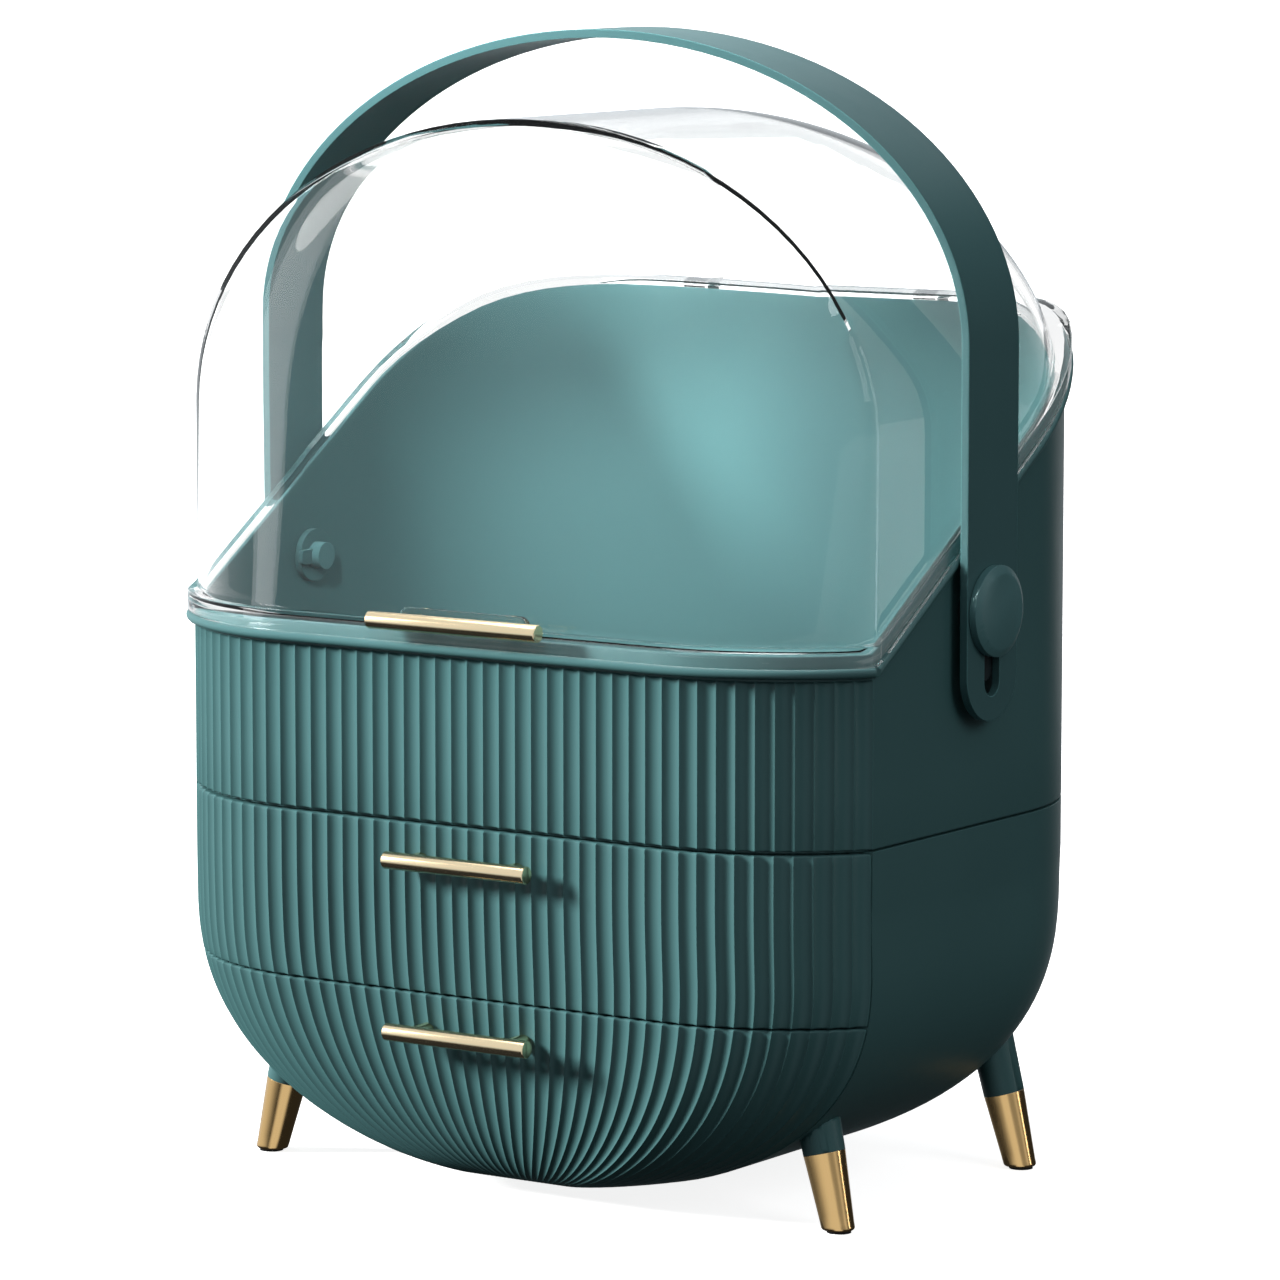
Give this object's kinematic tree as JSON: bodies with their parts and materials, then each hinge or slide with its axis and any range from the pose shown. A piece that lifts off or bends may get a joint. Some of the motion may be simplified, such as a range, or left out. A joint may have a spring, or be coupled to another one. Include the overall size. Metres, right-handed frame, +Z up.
{
  "type": "makeup organizer",
  "caption": "Footed makeup organizer with a fluted front: two bar-pull drawers under an open tray, a hinged clear dome lid and an arched carrying handle on pivots.",
  "frame": {"origin": "on the floor, in the middle of the overall width and depth", "axes": "+Z up, -Y towards the drawer fronts, +X to the right seen from the front"},
  "size_m": [0.2912, 0.2255, 0.3819],
  "materials": {
    "body_plastic": "satin moulded plastic",
    "handle_plastic": "satin moulded plastic, a little darker",
    "inner_plastic": "fine matt moulded plastic",
    "gold_metal": "satin champagne gold",
    "screw_steel": "bright zinc",
    "clear_acrylic": "clear polished acrylic",
    "pad_rubber": "matt rubber"
  },
  "bodies": {
    "cabinet": {"lower_shell": "body_plastic", "base_deck": "inner_plastic", "middle_shelf": "inner_plastic", "top_deck": "inner_plastic", "upper_tray": "body_plastic", "upper_drawer_stops": "inner_plastic", "upper_drawer_guides": "inner_plastic", "lower_drawer_stops": "inner_plastic", "lower_drawer_guides": "inner_plastic", "front_right_leg": "body_plastic", "front_left_leg": "body_plastic", "rear_right_leg": "body_plastic", "rear_left_leg": "body_plastic", "right_pivot_spacer": "body_plastic", "left_pivot_spacer": "body_plastic", "right_hinge_bracket": "body_plastic", "left_hinge_bracket": "body_plastic", "front_right_ferrule": "gold_metal", "front_left_ferrule": "gold_metal", "rear_right_ferrule": "gold_metal", "rear_left_ferrule": "gold_metal", "leg_screws": "screw_steel", "base_deck_screws": "screw_steel", "middle_shelf_screws": "screw_steel", "tray_screws": "screw_steel", "hinge_pins": "screw_steel", "bracket_screws": "screw_steel", "foot_pads": "pad_rubber"},
    "upper_drawer": {"upper_drawer_front": "body_plastic", "upper_drawer_box": "inner_plastic", "upper_drawer_bar": "gold_metal", "upper_drawer_bar_screws": "screw_steel", "upper_drawer_front_screws": "screw_steel"},
    "lower_drawer": {"lower_drawer_front": "body_plastic", "lower_drawer_box": "inner_plastic", "lower_drawer_bar": "gold_metal", "lower_drawer_bar_screws": "screw_steel", "lower_drawer_front_screws": "screw_steel"},
    "pivots": {"right_pivot_knob": "handle_plastic", "left_pivot_knob": "handle_plastic", "right_pivot_collar": "body_plastic", "left_pivot_collar": "body_plastic", "right_pivot_clip": "body_plastic", "left_pivot_clip": "body_plastic"},
    "handle": {"carry_handle": "handle_plastic"},
    "lid": {"clear_lid": "clear_acrylic", "lid_bar": "gold_metal"}
  },
  "joints": [
    {"name": "upper_drawer_slide", "type": "slide", "parent": "cabinet", "child": "upper_drawer", "axis": [0, -1, 0], "range_m": [0, 0.125]},
    {"name": "lower_drawer_slide", "type": "slide", "parent": "cabinet", "child": "lower_drawer", "axis": [0, -1, 0], "range_m": [0, 0.1]},
    {"name": "handle_swing", "type": "hinge", "parent": "cabinet", "child": "pivots", "pos_m": [0, -0.01005, 0.1982], "axis": [-1, 0, 0], "range_deg": [0, 128]},
    {"name": "handle_lift", "type": "slide", "parent": "pivots", "child": "handle", "axis": [0, 0, 1], "range_m": [0, 0.023]},
    {"name": "lid_hinge", "type": "hinge", "parent": "cabinet", "child": "lid", "pos_m": [0, 0.10915, 0.2812], "axis": [-1, 0, 0], "range_deg": [0, 42.24]}
  ],
  "couplings": [
    {"joint": "lid_hinge", "follows": "handle_swing", "ratio": 0.33}
  ]
}
